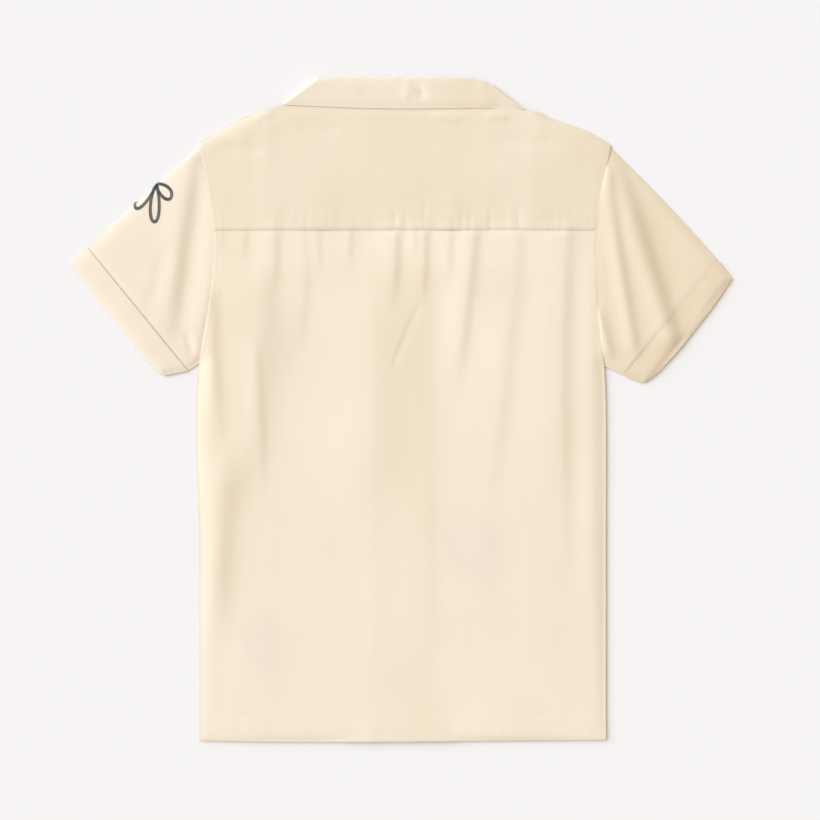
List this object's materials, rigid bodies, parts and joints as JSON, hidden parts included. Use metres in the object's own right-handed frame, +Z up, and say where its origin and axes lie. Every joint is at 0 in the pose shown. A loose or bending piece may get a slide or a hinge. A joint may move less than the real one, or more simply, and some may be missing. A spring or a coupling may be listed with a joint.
{
  "type": "short-sleeve shirt",
  "caption": "Child's short-sleeve camp-collar shirt with a gathered yoke back, laid flat face down.",
  "frame": {"origin": "centre of the shirt's outline on the surface that it lies on", "axes": "+Z up, out of the back of the shirt; +Y from the hem towards the collar; +X towards the wearer's right sleeve"},
  "size_m": [0.5834, 0.5859, 0.0089],
  "materials": {
    "cotton": "soft cream cotton, plain weave",
    "button": "horn-coloured, satin"
  },
  "bodies": {
    "root": {"back": "cotton", "yoke": "cotton", "front_left": "cotton", "front_right": "cotton", "collar": "cotton", "lapel_left": "cotton", "lapel_right": "cotton", "sleeve_left": "cotton", "sleeve_right": "cotton", "cuff_left": "cotton", "cuff_right": "cotton", "button_1": "button", "button_2": "button", "button_3": "button", "button_4": "button", "button_5": "button"}
  },
  "joints": []
}
